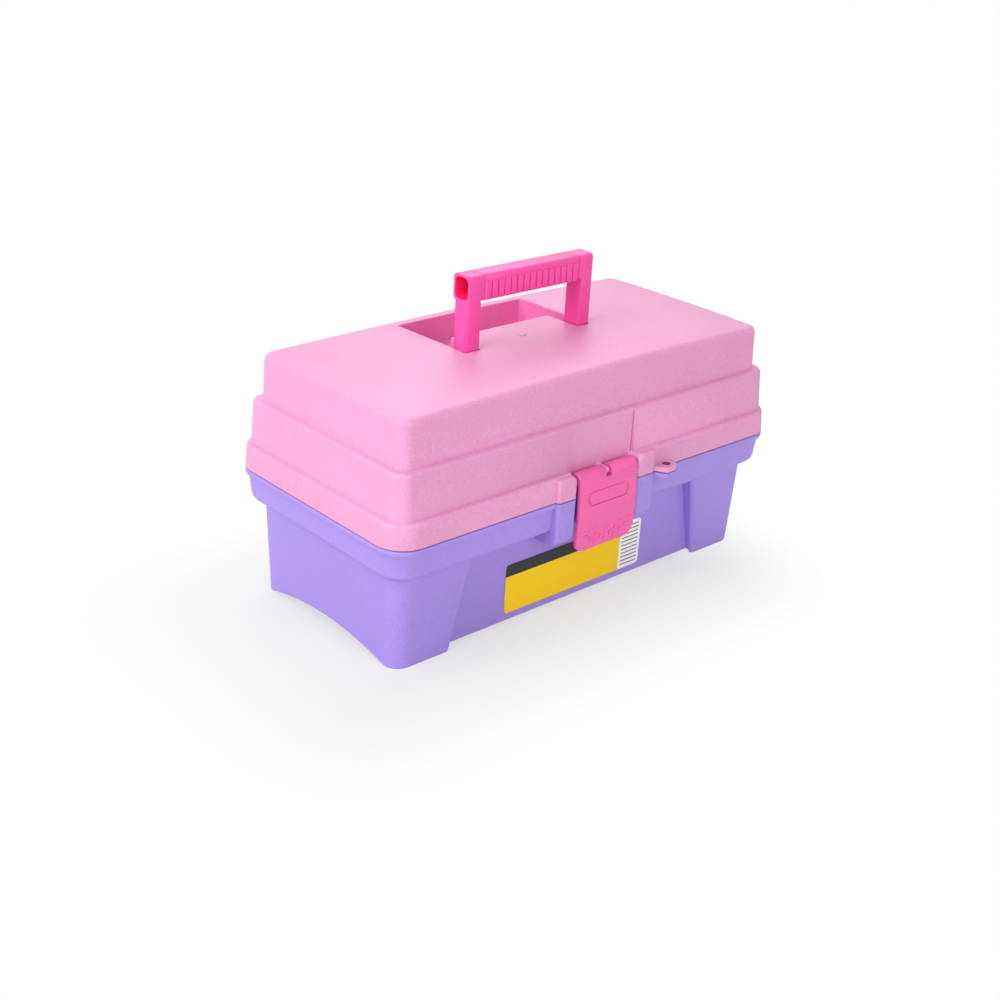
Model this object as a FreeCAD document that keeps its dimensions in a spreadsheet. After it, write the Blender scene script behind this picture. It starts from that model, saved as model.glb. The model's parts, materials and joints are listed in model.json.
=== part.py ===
import FreeCAD, Part
import Sketcher
import os
import re

# Moulded carry box for art supplies: tub, stepped lid, folding handle, flip latch, two rising trays and a mirror.
# Frame: X along the length, front towards -Y, Z up, origin under the middle of the footprint. Millimetres.

Vector = FreeCAD.Vector
doc = FreeCAD.newDocument("supply_box")

# Driving dimensions
SIZES = {
    # rim where lid and tub meet
    "rim_length": 355.6,
    "rim_width": 176.6,
    "rim_radius": 20,
    "seam_height": 92.4,
    "seam_gap": 0.9,
    "wall": 2.5,
    # tub
    "foot_length": 330.8,
    "foot_width": 145.8,
    "foot_radius": 12,
    "body_length": 333.6,
    "body_width": 153.8,
    "body_radius": 14,
    "flange_height": 67.4,
    "flange_round": 8.6,
    "band_inset": 2,
    "band_lean": 1.8,
    "lip_height": 3.2,
    "lip_round": 0.9,
    "floor_lift": 10.4,
    "arch_span": 132,
    "arch_rise": 9.4,
    "panel_top_width": 209,
    "panel_foot_width": 238,
    "panel_spread": 135,
    "panel_lift": 2.2,
    "panel_round": 3,
    # ribs and bosses beside the latch
    "rib_gap": 58.4,
    "rib_width": 16.8,
    "rib_reach": 91.2,
    "rib_foot": 58.5,
    "rib_foot_round": 9,
    "rib_round": 2.5,
    "boss_round": 4.5,
    # padlock eye
    "eye_offset": 57,
    "eye_reach": 98,
    "eye_thickness": 3.4,
    "eye_setback": 6.6,
    "eye_hole": 6,
    "eye_round": 3,
    # lid
    "low_step": 16.6,
    "low_lean": 1,
    "mid_step": 30.6,
    "mid_inset": 5.5,
    "mid_lean": 1.7,
    "mid_radius": 10.5,
    "top_step": 34.4,
    "top_inset": 12.2,
    "top_lean": 1.1,
    "top_radius": 8.5,
    "top_crown": 2.4,
    "cross_crown": 1.4,
    "top_round": 4.8,
    "step_round": 2.8,
    "channel_width": 63,
    "channel_reach": 79.8,
    # rear hinges
    "hinge_reach": 93.4,
    "hinge_radius": 4.6,
    "hinge_offset": 95,
    "hinge_leaf": 19,
    "hinge_end": 10,
    "hinge_pin": 4,
    "leaf_gap": 0.4,
    # latch
    "latch_width": 54.6,
    "latch_reach": 92.5,
    "latch_bow": 1.5,
    "latch_thickness": 2.6,
    "latch_barrel": 9,
    "latch_rise": 11.1,
    "latch_foot": 50.6,
    "latch_corner": 8,
    "latch_pin": 3,
    "latch_pin_seat": 6,
    "latch_notch": 5.6,
    "latch_lug": 5,
    "pill_length": 38.6,
    "pill_height": 10.4,
    "pill_line": 0.8,
    "pill_depth": 1.1,
    "pill_level": 88.3,
    "bump_pitch": 9.5,
    "bump_row": 3,
    "bump_level": 64,
    "bump_size": 3,
    "bump_rise": 1.1,
    "catch_level": 75,
    "catch_height": 3.4,
    "catch_width": 38,
    "catch_reach": 88.7,
    "bead_rise": 0.8,
    "bead_gap": 0.4,
    # handle
    "handle_width": 113,
    "handle_front": 6.5,
    "handle_top": 224.5,
    "grip_depth": 15.8,
    "grip_height": 18,
    "grip_round": 2.8,
    "grip_wall": 1.5,
    "bore_round": 4,
    "leg_width": 10.4,
    "leg_depth": 13.6,
    "handle_pivot": 164.3,
    "stub_size": 6,
    "stub_reach": 3,
    "ridge_pitch": 5.7,
    "ridge_foot": 5.1,
    "ridge_crest": 3.9,
    "ridge_rise": 0.8,
    "ring_place": 43.6,
    "ring_width": 0.6,
    "ring_depth": 0.5,
    "handle_gap": 1.2,
    # handle pocket in the lid
    "pocket_floor": 154,
    "pocket_back": 65,
    "tongue_back": 23.5,
    "pocket_round": 2.5,
    # trays and their arms
    "tray_length": 309.2,
    "tray_wall": 2,
    "tray_round": 6,
    "tray_corner": 1,
    "low_tray_front": 70,
    "low_tray_back": 62,
    "low_tray_floor": 78,
    "low_tray_height": 27,
    "low_tray_split": 12,
    "high_tray_front": 68,
    "high_tray_back": 32,
    "high_tray_floor": 110.5,
    "high_tray_height": 26,
    "high_tray_split": 20,
    "low_pivot_back": 40,
    "low_pivot_height": 98,
    "high_pivot_back": 7,
    "high_pivot_height": 123,
    "arm_shift": 62,
    "arm_drop": 5.4,
    "arm_gap": 0.6,
    "arm_thickness": 2.5,
    "arm_width": 11,
    "pivot_pin": 5,
    "pin_seat": 6,
    "lug_half": 5.5,
    "run_gap": 0.1,
    # mirror under the lid
    "mirror_length": 150,
    "mirror_width": 50,
    "mirror_depth": 5,
    "mirror_front": 64,
    "mirror_level": 161,
    "mirror_border": 4,
    "mirror_glass": 2,
    "mirror_round": 5,
    "mirror_axis": 3,
    "mirror_pin": 2.6,
    "ear_width": 4.4,
    "ear_gap": 0.6,
    # blank label
    "label_length": 131,
    "label_height": 36.5,
    "label_level": 25.6,
    "label_shift": 1.6,
    "label_round": 3,
    "label_thickness": 0.3,
}

sheet = doc.addObject("Spreadsheet::Sheet", "sizes")
for row, (alias, number) in enumerate(SIZES.items(), 1):
    sheet.set("A%d" % row, alias)
    sheet.set("B%d" % row, str(number))
    sheet.setAlias("B%d" % row, alias)
doc.recompute()

# Places worked out from the driving dimensions
TUB_TOP = "(seam_height - seam_gap)"
BAND_X = "(rim_length / 2 - band_inset)"
BAND_Y = "(rim_width / 2 - band_inset)"
BAND_FOOT_X = "(rim_length / 2 - band_inset - band_lean)"
BAND_FOOT_Y = "(rim_width / 2 - band_inset - band_lean)"
LEDGE_TOP = "(flange_height + wall + flange_round / 2)"
LOW_TOP = "(seam_height + low_step)"
MID_TOP = "(seam_height + low_step + mid_step)"
LID_TOP = "(seam_height + low_step + mid_step + top_step)"
LID_EDGE = "(seam_height + low_step + mid_step + top_step - top_crown - cross_crown)"
ARM_X = "(tray_length / 2 + arm_gap)"
LUG_X = "(tray_length / 2 + 2 * arm_gap + arm_thickness)"
LEG_INNER = "(handle_width / 2 - leg_width)"
LATCH_Z = "(seam_height + latch_rise)"
LATCH_HALF = f"(({LATCH_Z} - latch_foot) / 2)"
LATCH_MID = f"(({LATCH_Z} + latch_foot) / 2)"
LATCH_Y = "(latch_reach - latch_bow - latch_barrel / 2)"
HANDLE_Y = "(leg_depth / 2 - handle_front)"
MIRROR_AXIS_Z = "(mirror_level + mirror_depth / 2)"
ARM_PIVOT = ("(hinge_reach - arm_shift)", "(seam_height - arm_drop)")
LOW_LID_PIVOT = ("low_pivot_back", "low_pivot_height")
HIGH_LID_PIVOT = ("high_pivot_back", "high_pivot_height")
LOW_ARM_PIVOT = ("(low_pivot_back - arm_shift)", "(low_pivot_height - arm_drop)")
HIGH_ARM_PIVOT = ("(high_pivot_back - arm_shift)", "(high_pivot_height - arm_drop)")

RIDGES = 15
BUMP_ROWS = (6, 5, 4, 3)
OVERCUT = 5
CROWN_TURN = 12


def expr(text):
    """Write a formula in driving dimensions as an expression on the sheet."""
    return re.sub(r"[a-z][a-z_]*", lambda word: "sizes." + word[0] if word[0] in SIZES else word[0], str(text))


def value(text):
    """Work out a formula as a plain number."""
    return float(doc.sizes.evalExpression(expr(text)))


def new_body(label):
    body = doc.addObject("PartDesign::Body", label)
    body.Label = label
    return body


def sketch(body, name, plane, offset="0"):
    made = body.newObject("Sketcher::SketchObject", name)
    support = [item for item in body.Origin.OriginFeatures if item.Role == plane][0]
    made.AttachmentSupport = [(support, "")]
    made.MapMode = "FlatFace"
    made.setExpression("AttachmentOffset.Base.z", expr(offset))
    return made


def hold(made, formula, kind, *where):
    """Add one dimension to a sketch and bind it to the sheet."""
    index = made.addConstraint(Sketcher.Constraint(kind, *where, value(formula)))
    name = "size_%d" % index
    made.renameConstraint(index, name)
    made.setExpression("Constraints." + name, expr(formula))


def hold_point(made, place, geometry, point):
    hold(made, place[0], "DistanceX", -1, 1, geometry, point)
    hold(made, place[1], "DistanceY", -1, 1, geometry, point)


def polygon(made, corners):
    first = made.GeometryCount
    points = [Vector(value(x), value(y), 0) for x, y in corners]
    count = len(points)
    for k in range(count):
        made.addGeometry(Part.LineSegment(points[k], points[(k + 1) % count]))
    for k in range(count):
        made.addConstraint(Sketcher.Constraint("Coincident", first + k, 2, first + (k + 1) % count, 1))
        hold_point(made, corners[k], first + k, 1)
    return made


def arc(centre, radius, start, end):
    """An arc about a centre, from the direction start to the direction end, both in radians."""
    return Part.ArcOfCircle(Part.Circle(centre, Vector(0, 0, 1), radius), start, end)


def close_tangent(made, first, count):
    """Join a ring of alternating lines and arcs end to end, each tangent to the next."""
    for k in range(count):
        made.addConstraint(Sketcher.Constraint("Tangent", first + k, 2, first + (k + 1) % count, 1))


def rounded(made, half_x, half_y, radius, centre=("0", "0")):
    """A rectangle with rounded corners: four lines and four arcs, running anticlockwise."""
    first = made.GeometryCount
    middle = Vector(value(centre[0]), value(centre[1]), 0)
    wide, tall, bend = value(half_x), value(half_y), value(radius)
    turns = ((1, -1), (1, 1), (-1, 1), (-1, -1))
    centres = [middle + Vector(x * (wide - bend), y * (tall - bend), 0) for x, y in turns]
    quarter = 1.5707963267948966
    for k in range(4):
        out = Vector(turns[k][0] if k % 2 else 0, 0 if k % 2 else turns[k][1], 0)
        made.addGeometry(Part.LineSegment(centres[k - 1] + out * bend, centres[k] + out * bend))
        made.addGeometry(arc(centres[k], bend, quarter * (k - 1), quarter * k))
    close_tangent(made, first, 8)
    for k, (x, y) in enumerate(turns):
        place = (
            f"{centre[0]} + {x} * ({half_x} - ({radius}))",
            f"{centre[1]} + {y} * ({half_y} - ({radius}))",
        )
        hold_point(made, place, first + 2 * k + 1, 3)
        hold(made, radius, "Radius", first + 2 * k + 1)
    return made


def slot(made, start, end, radius):
    """A straight bar with round ends about two centres."""
    first = made.GeometryCount
    a = Vector(value(start[0]), value(start[1]), 0)
    b = Vector(value(end[0]), value(end[1]), 0)
    bend = value(radius)
    along = (b - a).normalize()
    side = Vector(-along.y, along.x, 0)
    angle = Vector(1, 0, 0).getAngle(side) * (1 if side.y >= 0 else -1)
    half_turn = 3.141592653589793
    made.addGeometry(Part.LineSegment(a - side * bend, b - side * bend))
    made.addGeometry(arc(b, bend, angle - half_turn, angle))
    made.addGeometry(Part.LineSegment(b + side * bend, a + side * bend))
    made.addGeometry(arc(a, bend, angle, angle + half_turn))
    close_tangent(made, first, 4)
    hold_point(made, end, first + 1, 3)
    hold_point(made, start, first + 3, 3)
    hold(made, radius, "Radius", first + 1)
    hold(made, radius, "Radius", first + 3)
    return made


def circle(made, place, radius):
    index = made.addGeometry(Part.Circle(Vector(value(place[0]), value(place[1]), 0), Vector(0, 0, 1), value(radius)))
    hold(made, radius, "Radius", index)
    hold_point(made, place, index, 3)
    return made


def box_plan(made, low_x, high_x, low_y, high_y):
    return polygon(made, [(low_x, low_y), (high_x, low_y), (high_x, high_y), (low_x, high_y)])


def plan(body, name, height, half_x, half_y, radius):
    """A rounded rectangle about the origin, lying flat at a height."""
    return rounded(sketch(body, name, "XY_Plane", height), half_x, half_y, radius)


def extrude(body, profile, length, cut=False, both=False, refine=True):
    """Pad or cut a sketch along its normal, or half each way."""
    made = body.newObject("PartDesign::Pocket" if cut else "PartDesign::Pad", profile.Name + "_run")
    made.Profile = profile
    made.Reversed = cut
    made.Refine = refine
    if both:
        made.SideType = "Symmetric"
    made.setExpression("Length", expr(length))
    body.Tip = made
    return made


def row_along_x(body, first, count, pitch):
    """Repeat a pad or cut along X."""
    made = body.newObject("PartDesign::LinearPattern", first.Name + "_row")
    made.Originals = [first]
    made.Direction = ([item for item in body.Origin.OriginFeatures if item.Role == "X_Axis"][0], [""])
    made.Occurrences = count
    made.setExpression("Length", expr(f"{count - 1} * {pitch}"))
    body.Tip = made
    return made


def loft(body, sections, cut=False):
    kind = "PartDesign::SubtractiveLoft" if cut else "PartDesign::AdditiveLoft"
    made = body.newObject(kind, sections[0].Name + "_loft")
    made.Profile = sections[0]
    made.Sections = sections[1:]
    made.Ruled = True
    body.Tip = made
    return made


def fillet(body, radius, pick):
    """Round the edges whose boxes pass a test."""
    doc.recompute()
    base = body.Tip
    names = ["Edge%d" % (k + 1) for k, edge in enumerate(base.Shape.Edges) if pick(edge.BoundBox)]
    made = body.newObject("PartDesign::Fillet", "round_over")
    made.Base = (base, names)
    made.setExpression("Radius", expr(radius))
    body.Tip = made
    doc.recompute()
    return made


def near(number, formula, slack=0.05):
    return abs(number - value(formula)) < slack


def level(box, height, slack=0.05):
    """True for an edge that lies flat at a height."""
    return near(box.ZMin, height, slack) and near(box.ZMax, height, slack)


def padlock_eye(body, underside):
    """Tab for a padlock beside the right-hand rib or boss, with its eye."""
    inner = "(rib_gap / 2 + rib_width - 1)"
    outer = "(eye_offset + eye_hole / 2 + 4.5)"
    tab = sketch(body, "eye_tab", "XY_Plane", underside)
    polygon(tab, [
        (inner, "-(rim_width / 2 - wall)"),
        (inner, "-(rib_reach - rib_round)"),
        ("eye_offset - eye_hole", "-eye_reach"),
        ("eye_offset + eye_hole / 2", "-eye_reach"),
        (outer, "-(eye_reach - 4.5)"),
        (outer, "-(rim_width / 2 - wall)"),
    ])
    extrude(body, tab, "eye_thickness", refine=False)
    fillet(body, "eye_round", lambda box: near(box.ZLength, "eye_thickness") and box.XLength < 0.01
           and box.YLength < 0.01 and box.YMax < -value("rib_reach") and box.XMin > value("eye_offset - eye_hole - 1"))
    hole = sketch(body, "eye_hole", "XY_Plane", underside)
    circle(hole, ("eye_offset", "-(eye_reach - eye_setback)"), "eye_hole / 2")
    extrude(body, hole, "eye_thickness", cut=True, refine=False)


def knuckle(body, name, start, length, root):
    """One barrel of a rear hinge with the web that carries it."""
    barrel = sketch(body, name, "YZ_Plane", start)
    circle(barrel, ("hinge_reach", "seam_height"), "hinge_radius")
    extrude(body, barrel, length, refine=False)
    web = sketch(body, name + "_web", "YZ_Plane", start)
    polygon(web, root)
    extrude(body, web, length, refine=False)


def bore(body, name, place, radius, start, length):
    """Cut a round hole along X."""
    hole = sketch(body, name, "YZ_Plane", start)
    circle(hole, place, radius)
    extrude(body, hole, length, cut=True, refine=False)


def tub_panel(body, side):
    """Recess the panel between the posts and keep the wall behind it."""
    face = f"{side} * panel_spread / 2"
    back = f"{side} * (panel_spread / 2 - wall)"
    name = "front" if side < 0 else "back"
    backing = []
    recess = []
    for height, width, outer in (
        ("panel_lift", "panel_foot_width", "foot_width / 2"),
        ("flange_height + wall", "panel_top_width", "body_width / 2"),
    ):
        half = f"({width} / 2 + wall)"
        backing.append(sketch(body, name + "_backing", "XY_Plane", height))
        box_plan(backing[-1], f"-{half}", half, f"{side} * ({outer} - wall / 4)", back)
    loft(body, backing)
    for height, width, outer in (
        ("0", "panel_foot_width", "foot_width / 2"),
        ("flange_height", "panel_top_width", "body_width / 2"),
    ):
        half = f"({width} / 2)"
        recess.append(sketch(body, name + "_recess", "XY_Plane", height))
        box_plan(recess[-1], f"-{half}", half, f"{side} * ({outer} + {OVERCUT})", face)
    loft(body, recess, cut=True)


def make_tub():
    body = new_body("base_tub")
    foot = plan(body, "foot", "0", "foot_length / 2", "foot_width / 2", "foot_radius")
    waist = plan(body, "waist", "flange_height", "body_length / 2", "body_width / 2", "body_radius")
    loft(body, [foot, waist])
    flange = plan(body, "flange", "flange_height", BAND_FOOT_X, BAND_FOOT_Y, "rim_radius - band_inset")
    band = plan(body, "band", f"{TUB_TOP} - lip_height", BAND_X, BAND_Y, "rim_radius - band_inset")
    loft(body, [flange, band])
    overhang = "min(rim_length - body_length; rim_width - body_width) / 2 - band_inset - band_lean"
    fillet(body, f"min(flange_round; {overhang} - 0.3)", lambda box: level(box, "flange_height") and (
        abs(box.XMax) > value("body_length / 2 + 1") or abs(box.XMin) > value("body_length / 2 + 1")
        or abs(box.YMax) > value("body_width / 2 + 1") or abs(box.YMin) > value("body_width / 2 + 1")))
    lip = plan(body, "lip", f"{TUB_TOP} - lip_height", "rim_length / 2", "rim_width / 2", "rim_radius")
    extrude(body, lip, "lip_height")
    fillet(body, "lip_round", lambda box: level(box, TUB_TOP))

    # hollow above the floor, skirt below it
    under = plan(body, "under", "0", "foot_length / 2 - wall", "foot_width / 2 - wall", "foot_radius - wall")
    extrude(body, under, "floor_lift", cut=True)
    well = plan(body, "well", "floor_lift + wall", "foot_length / 2 - wall", "foot_width / 2 - wall",
                "foot_radius - wall")
    mouth = plan(body, "mouth", "flange_height + wall", "body_length / 2 - wall", "body_width / 2 - wall",
                 "body_radius - wall")
    loft(body, [well, mouth], cut=True)
    ledge = plan(body, "ledge", "flange_height + wall", "body_length / 2 - wall", "body_width / 2 - wall",
                 "body_radius - wall")
    throat_radius = "rim_radius - band_inset - wall"
    throat = plan(body, "throat", LEDGE_TOP, f"{BAND_FOOT_X} - wall", f"{BAND_FOOT_Y} - wall", throat_radius)
    loft(body, [ledge, throat], cut=True)
    neck = plan(body, "neck", LEDGE_TOP, f"{BAND_FOOT_X} - wall", f"{BAND_FOOT_Y} - wall", throat_radius)
    rim = plan(body, "rim", TUB_TOP, f"{BAND_X} - wall", f"{BAND_Y} - wall", throat_radius)
    loft(body, [neck, rim], cut=True)

    # arch between the feet at each end
    arch_radius = "((arch_span ^ 2 / 4 + arch_rise ^ 2) / (2 * arch_rise))"
    arch = sketch(body, "arch", "YZ_Plane")
    circle(arch, ("0", f"arch_rise - {arch_radius}"), arch_radius)
    extrude(body, arch, "rim_length", cut=True, both=True)

    for side in (-1, 1):
        tub_panel(body, side)
    slant_least = value("panel_foot_width - panel_top_width") / 4
    fillet(body, "panel_round", lambda box: box.ZLength > value("flange_height") / 2
           and box.XLength > slant_least and abs(box.Center.x) < value("panel_foot_width / 2")
           and abs(box.Center.y) > value("panel_spread / 2 + 1"))

    # ribs beside the latch
    for name, start in (("left_rib", "-(rib_gap / 2 + rib_width)"), ("right_rib", "rib_gap / 2")):
        rib = sketch(body, name, "YZ_Plane", start)
        polygon(rib, [
            ("-rib_reach", TUB_TOP),
            ("-rib_reach", "rib_foot"),
            ("-(panel_spread / 2 - wall / 2)", "rib_foot"),
            ("-(panel_spread / 2 - wall / 2)", "flange_height + wall / 2"),
            (f"-({BAND_FOOT_Y} - wall / 2)", "flange_height + wall / 2"),
            (f"-({BAND_Y} - wall / 2)", TUB_TOP),
        ])
        extrude(body, rib, "rib_width")
    fillet(body, "rib_foot_round", lambda box: level(box, "rib_foot") and near(box.YMin, "-rib_reach")
           and near(box.YMax, "-rib_reach"))
    fillet(body, "rib_round", lambda box: near(box.YMin, "-rib_reach") and box.ZLength > value("lip_height")
           and box.XLength < 0.01)

    # catch bar that the latch bead snaps under
    catch = sketch(body, "catch", "YZ_Plane")
    box_plan(catch, "-catch_reach", f"-({BAND_FOOT_Y} - wall / 2)", "catch_level", "catch_level + catch_height")
    extrude(body, catch, "catch_width", both=True)
    padlock_eye(body, f"{TUB_TOP} - eye_thickness")

    # outer barrels of the two rear hinges
    for side in (-1, 1):
        for place in ("-(hinge_leaf / 2 + leaf_gap + hinge_end)", "hinge_leaf / 2 + leaf_gap"):
            knuckle(body, "barrel", f"{side} * hinge_offset + {place}", "hinge_end", [
                (f"{BAND_Y} - wall / 2", TUB_TOP),
                (f"{BAND_FOOT_Y} - wall / 2", "seam_height - 4 * hinge_radius"),
                ("hinge_reach + hinge_radius / 2", "seam_height - hinge_radius * 3 / 4"),
                ("hinge_reach", TUB_TOP),
            ])
        start = f"{side} * hinge_offset - hinge_leaf / 2 - leaf_gap - hinge_end"
        bore(body, "hinge_bore", ("hinge_reach", "seam_height"), "hinge_pin / 2", start,
             "hinge_leaf + 2 * (leaf_gap + hinge_end)")

    # blocks inside the ends that carry the tray arms
    for side in (-1, 1):
        block = sketch(body, "arm_block", "XY_Plane", "flange_height + flange_round")
        box_plan(block, f"{side} * {LUG_X}", f"{side} * ({BAND_X} - wall * 3 / 4)",
                 f"{ARM_PIVOT[0]} - lug_half", f"{ARM_PIVOT[0]} + lug_half")
        extrude(body, block, f"{TUB_TOP} - flange_height - flange_round")
        start = LUG_X if side > 0 else f"-({LUG_X} + pin_seat)"
        bore(body, "arm_bore", ARM_PIVOT, "pivot_pin / 2", start, "pin_seat")
    return body


def lid_step(body, name, low, high, inset, lean, radius, inner="0", cut=False):
    """One drafted step of the lid, or its hollow when inner is the wall."""
    sections = []
    for height, shrink in ((low, "0"), (high, lean)):
        drawn_in = f"{inset} + {shrink} + {inner}"
        sections.append(plan(body, name, height, f"rim_length / 2 - ({drawn_in})",
                             f"rim_width / 2 - ({drawn_in})", f"{radius} - {inner}"))
    loft(body, sections, cut)


def lid_pivot_lug(body, name, pivot, inset, ceiling):
    """Lugs inside both ends of the lid that carry the back of a tray."""
    for side in (-1, 1):
        lug = sketch(body, name, "XY_Plane", f"{pivot[1]} - lug_half + 0.4")
        box_plan(lug, f"{side} * {LUG_X}", f"{side} * (rim_length / 2 - ({inset}) - wall * 3 / 4)",
                 f"{pivot[0]} - lug_half", f"{pivot[0]} + lug_half")
        extrude(body, lug, f"{ceiling} - wall * 3 / 4 - {pivot[1]} + lug_half - 0.4")
        start = LUG_X if side > 0 else f"-({LUG_X} + pin_seat)"
        bore(body, name + "_bore", pivot, "pivot_pin / 2 + run_gap", start, "pin_seat")


def make_lid():
    body = new_body("lid_shell")
    lid_step(body, "low", "seam_height", LOW_TOP, "0", "low_lean", "rim_radius")
    lid_step(body, "mid", LOW_TOP, MID_TOP, "mid_inset", "mid_lean", "mid_radius")
    lid_step(body, "top", MID_TOP, LID_TOP, "top_inset", "top_lean", "top_radius")

    # slight crown both ways: an arc along the length, turned about a far axis under it
    crown_radius = "((rim_length ^ 2 / 4 + top_crown ^ 2) / (2 * top_crown))"
    cross_radius = "((rim_width ^ 2 / 4 + cross_crown ^ 2) / (2 * cross_crown))"
    crown = sketch(body, "crown", "XZ_Plane")
    crown.setExpression("AttachmentOffset.Base.y", expr(f"{LID_TOP} - {cross_radius}"))
    reach = value("rim_length / 2")
    centre = Vector(0, value(f"{cross_radius} - {crown_radius}"), 0)
    ends = [Vector(x, value(f"{cross_radius} - top_crown"), 0) for x in (reach, -reach)]
    crown.addGeometry(Part.Arc(ends[0], Vector(0, value(cross_radius), 0), ends[1]))
    raised = [end + Vector(0, 2 * OVERCUT, 0) for end in ends]
    crown.addGeometry(Part.LineSegment(ends[1], raised[1]))
    crown.addGeometry(Part.LineSegment(raised[1], raised[0]))
    crown.addGeometry(Part.LineSegment(raised[0], ends[0]))
    for k in range(3):
        crown.addConstraint(Sketcher.Constraint("Coincident", k, 2, k + 1, 1))
    crown.addConstraint(Sketcher.Constraint("Coincident", 3, 2, 0, 1))
    hold_point(crown, ("0", f"{cross_radius} - {crown_radius}"), 0, 3)
    hold(crown, crown_radius, "Radius", 0)
    hold(crown, "-rim_length / 2", "DistanceX", -1, 1, 1, 1)
    hold(crown, "rim_length / 2", "DistanceX", -1, 1, 3, 2)
    hold_point(crown, ("-rim_length / 2", f"{cross_radius} + 2 * {OVERCUT}"), 2, 1)
    hold_point(crown, ("rim_length / 2", f"{cross_radius} + 2 * {OVERCUT}"), 3, 1)
    turn = body.newObject("PartDesign::Groove", "crown_turn")
    turn.Profile = crown
    turn.ReferenceAxis = (crown, ["H_Axis"])
    turn.Midplane = True
    turn.Angle = CROWN_TURN
    body.Tip = turn
    fillet(body, "top_round", lambda box: box.ZMin > value(f"{LID_EDGE} - 0.5"))
    for top, inset, lean in ((MID_TOP, "mid_inset", "mid_lean"), (LOW_TOP, "0", "low_lean")):
        outer_y = f"rim_width / 2 - {inset} - {lean}"
        far_x = f"rim_length / 2 - {inset} - {lean}"
        fillet(body, "step_round", lambda box: level(box, top) and (
            near(max(abs(box.XMin), abs(box.XMax)), far_x) or near(max(abs(box.YMin), abs(box.YMax)), outer_y)))

    # hollow
    lid_step(body, "low_hollow", "seam_height", f"{LOW_TOP} - wall", "0", "low_lean", "rim_radius", "wall", True)
    lid_step(body, "mid_hollow", f"{LOW_TOP} - 2 * wall", f"{MID_TOP} - wall", "mid_inset", "mid_lean",
             "mid_radius", "wall", True)
    lid_step(body, "top_hollow", f"{MID_TOP} - 2 * wall", f"{LID_EDGE} - wall / 2", "top_inset",
             "top_lean + wall / 2", "top_radius", "wall", True)

    # channel above and behind the latch
    half = "(channel_width / 2)"
    for name, low, high, outer in (
        ("low_backing", "seam_height", LOW_TOP, "rim_width / 2 - low_lean - wall / 2"),
        ("mid_backing", f"{LOW_TOP} - wall", MID_TOP, "rim_width / 2 - mid_inset - mid_lean - wall / 4"),
    ):
        backing = sketch(body, name, "XY_Plane", low)
        box_plan(backing, f"-({half} + wall)", f"{half} + wall", f"-({outer})", "-(channel_reach - wall)")
        extrude(body, backing, f"{high} - wall / 2 - ({low})")
    channel = sketch(body, "channel", "XY_Plane", f"seam_height - {OVERCUT}")
    box_plan(channel, f"-{half}", half, f"-(rim_width / 2 + {OVERCUT})", "-channel_reach")
    extrude(body, channel, f"low_step + mid_step + 2 * {OVERCUT}", cut=True)

    # bosses that hold the latch pin, and the lug at its middle
    for name, low, high in (
        ("left_boss", "-(rib_gap / 2 + rib_width)", "-rib_gap / 2"),
        ("right_boss", "rib_gap / 2", "rib_gap / 2 + rib_width"),
    ):
        boss = sketch(body, name, "XY_Plane", "seam_height")
        box_plan(boss, low, high, "-rib_reach", "-channel_reach")
        extrude(body, boss, f"low_step - step_round / 4")
    fillet(body, "boss_round", lambda box: level(box, f"{LOW_TOP} - step_round / 4") and box.XLength < 0.01
           and near(abs(box.XMin), "rib_gap / 2") and box.YLength > value("rib_width / 4"))
    fillet(body, "rib_round", lambda box: near(box.YMin, "-rib_reach") and near(box.YMax, "-rib_reach")
           and box.ZMax > value("seam_height + 1"))
    lug = sketch(body, "pin_lug", "YZ_Plane")
    slot(lug, (f"-{LATCH_Y}", LATCH_Z), ("-channel_reach", LATCH_Z), "latch_lug / 2")
    extrude(body, lug, "latch_notch - 4 * leaf_gap", both=True)
    pin_bore = sketch(body, "latch_pin_bore", "YZ_Plane")
    circle(pin_bore, (f"-{LATCH_Y}", LATCH_Z), "latch_pin / 2")
    extrude(body, pin_bore, "rib_gap + 2 * latch_pin_seat", cut=True, both=True)
    padlock_eye(body, "seam_height")

    # pocket for the handle: a trough round three sides of a tongue
    outer_x = "(handle_width / 2 + handle_gap)"
    tongue_x = f"({LEG_INNER} - handle_gap)"
    front = "(handle_front + handle_gap)"
    trough = sketch(body, "trough", "XY_Plane", "pocket_floor - wall")
    box_plan(trough, f"-({outer_x} + wall)", f"{outer_x} + wall", f"-({front} + wall)", "pocket_back + wall")
    extrude(body, trough, f"{LID_TOP} - top_crown - pocket_floor")
    pocket = sketch(body, "pocket", "XY_Plane", "pocket_floor")
    polygon(pocket, [
        (f"-{outer_x}", f"-{front}"),
        (f"-{tongue_x}", f"-{front}"),
        (f"-{tongue_x}", "tongue_back"),
        (tongue_x, "tongue_back"),
        (tongue_x, f"-{front}"),
        (outer_x, f"-{front}"),
        (outer_x, "pocket_back"),
        (f"-{outer_x}", "pocket_back"),
    ])
    extrude(body, pocket, f"{LID_TOP} - pocket_floor + {OVERCUT}", cut=True)
    under_tongue = sketch(body, "under_tongue", "XY_Plane", "pocket_floor - wall")
    box_plan(under_tongue, f"-({tongue_x} - wall)", f"{tongue_x} - wall", f"-({front} + wall)",
             "tongue_back - wall")
    extrude(body, under_tongue, f"{LID_TOP} - top_crown - pocket_floor", cut=True)
    fillet(body, "pocket_round", lambda box: box.XLength < 0.01 and box.YLength < 0.01
           and box.ZLength > value("top_step") / 3 and near(box.YMin, "pocket_back")
           and near(abs(box.XMin), outer_x))
    fillet(body, "pocket_round / 2", lambda box: box.ZMin > value(f"{LID_TOP} - top_crown - 0.1")
           and box.YMin > value("tongue_back") - 0.1 and box.XLength > 1
           and abs(box.Center.x) < value(outer_x))
    for side in (-1, 1):
        start = f"{outer_x} - handle_gap" if side > 0 else f"-({outer_x} + wall)"
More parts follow.
